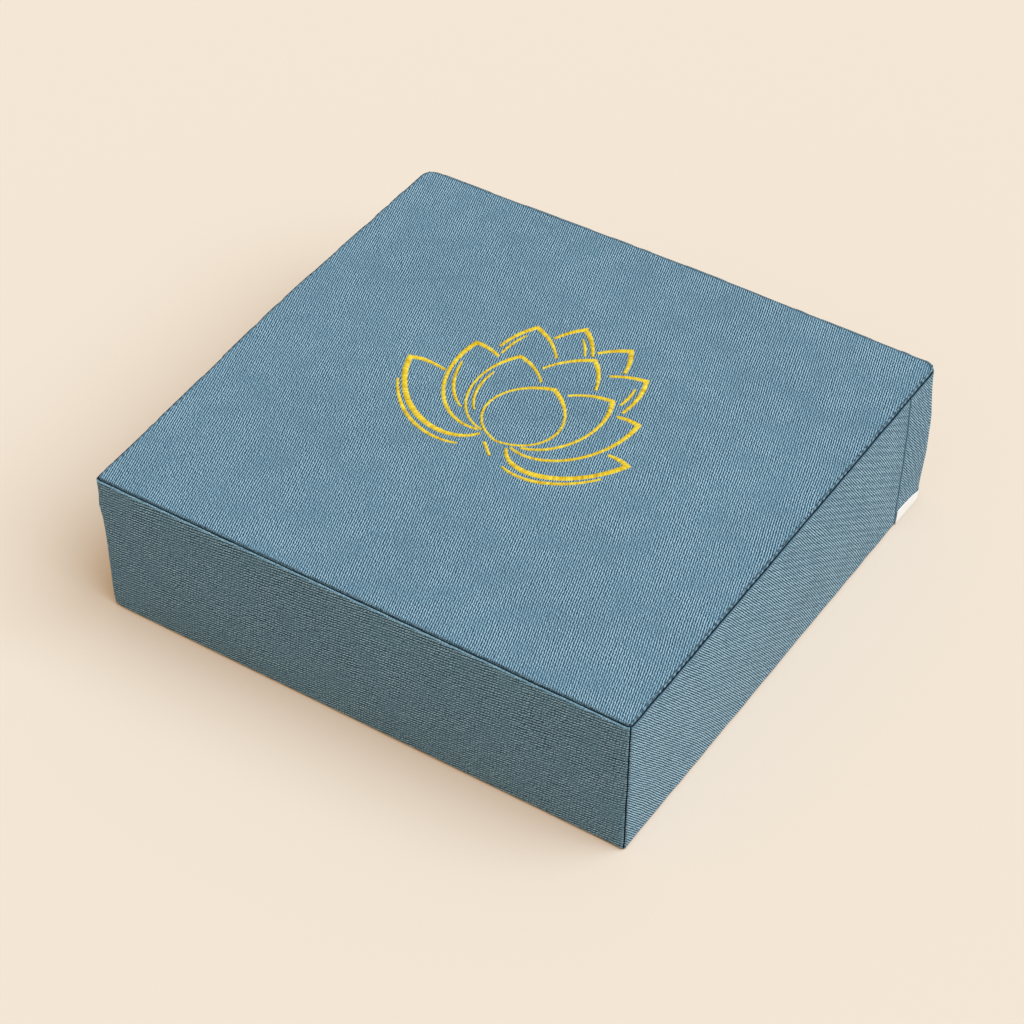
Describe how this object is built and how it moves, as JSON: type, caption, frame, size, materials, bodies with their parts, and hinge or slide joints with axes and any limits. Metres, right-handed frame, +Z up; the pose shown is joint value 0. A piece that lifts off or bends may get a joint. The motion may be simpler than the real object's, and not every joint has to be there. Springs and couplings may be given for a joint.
{
  "type": "floor cushion",
  "caption": "Square firm floor cushion for sitting or meditation: foam block in a boxed, zipped twill cover with a line-embroidered lotus on top.",
  "frame": {"origin": "middle of the base, on the surface that the cushion lies on", "axes": "+Z up, +X towards the right side that carries the care label, -Y towards the front, +Y towards the back that holds the zip"},
  "size_m": [0.4579, 0.4608, 0.1281],
  "materials": {
    "cover_twill": "matte",
    "gold_thread": "satin",
    "label_ribbon": "matte",
    "inner_case_cloth": "matte",
    "wadding": "matte",
    "foam": "matte",
    "backing_paper": "matte",
    "zip_tape": "matte",
    "zip_coil": "satin",
    "zip_metal": "satin"
  },
  "bodies": {
    "cushion": {"top_panel": "cover_twill", "base_panel": "cover_twill", "front_boxing": "cover_twill", "right_boxing": "cover_twill", "left_boxing": "cover_twill", "back_boxing": "cover_twill", "care_label": "label_ribbon", "liner_top": "inner_case_cloth", "liner_band": "inner_case_cloth", "liner_base": "inner_case_cloth", "wadding_top": "wadding", "wadding_base": "wadding", "foam_core": "foam", "embroidery_backing": "backing_paper", "zip_tape_upper": "zip_tape", "zip_tape_lower": "zip_tape", "zip_coil_upper": "zip_coil", "zip_coil_lower": "zip_coil", "zip_top_stop": "zip_metal", "zip_bottom_stop": "zip_metal", "petal_front": "gold_thread", "petal_inner_left": "gold_thread", "petal_inner_right": "gold_thread", "petal_middle": "gold_thread", "petal_side_left": "gold_thread", "petal_side_right": "gold_thread", "petal_back_left": "gold_thread", "petal_back_right": "gold_thread", "petal_far_left": "gold_thread", "petal_far_right": "gold_thread", "petal_low_left": "gold_thread", "petal_low_right": "gold_thread", "vein_side_left": "gold_thread", "vein_inner_left": "gold_thread", "vein_back_left": "gold_thread", "vein_back_right": "gold_thread", "vein_far_left": "gold_thread", "under_line_left": "gold_thread", "under_line_right": "gold_thread", "stem_line": "gold_thread"},
    "slider": {"zip_slider": "zip_metal"},
    "pull": {"zip_pull": "zip_metal"}
  },
  "joints": [
    {"name": "zip_slide", "type": "slide", "parent": "cushion", "child": "slider", "axis": [-1, 0, 0], "range_m": [0, 0.3862]},
    {"name": "pull_lift", "type": "hinge", "parent": "slider", "child": "pull", "pos_m": [0.1931, 0.2302, 0.0635], "axis": [0, 0, -1], "range_deg": [0, 180]}
  ]
}
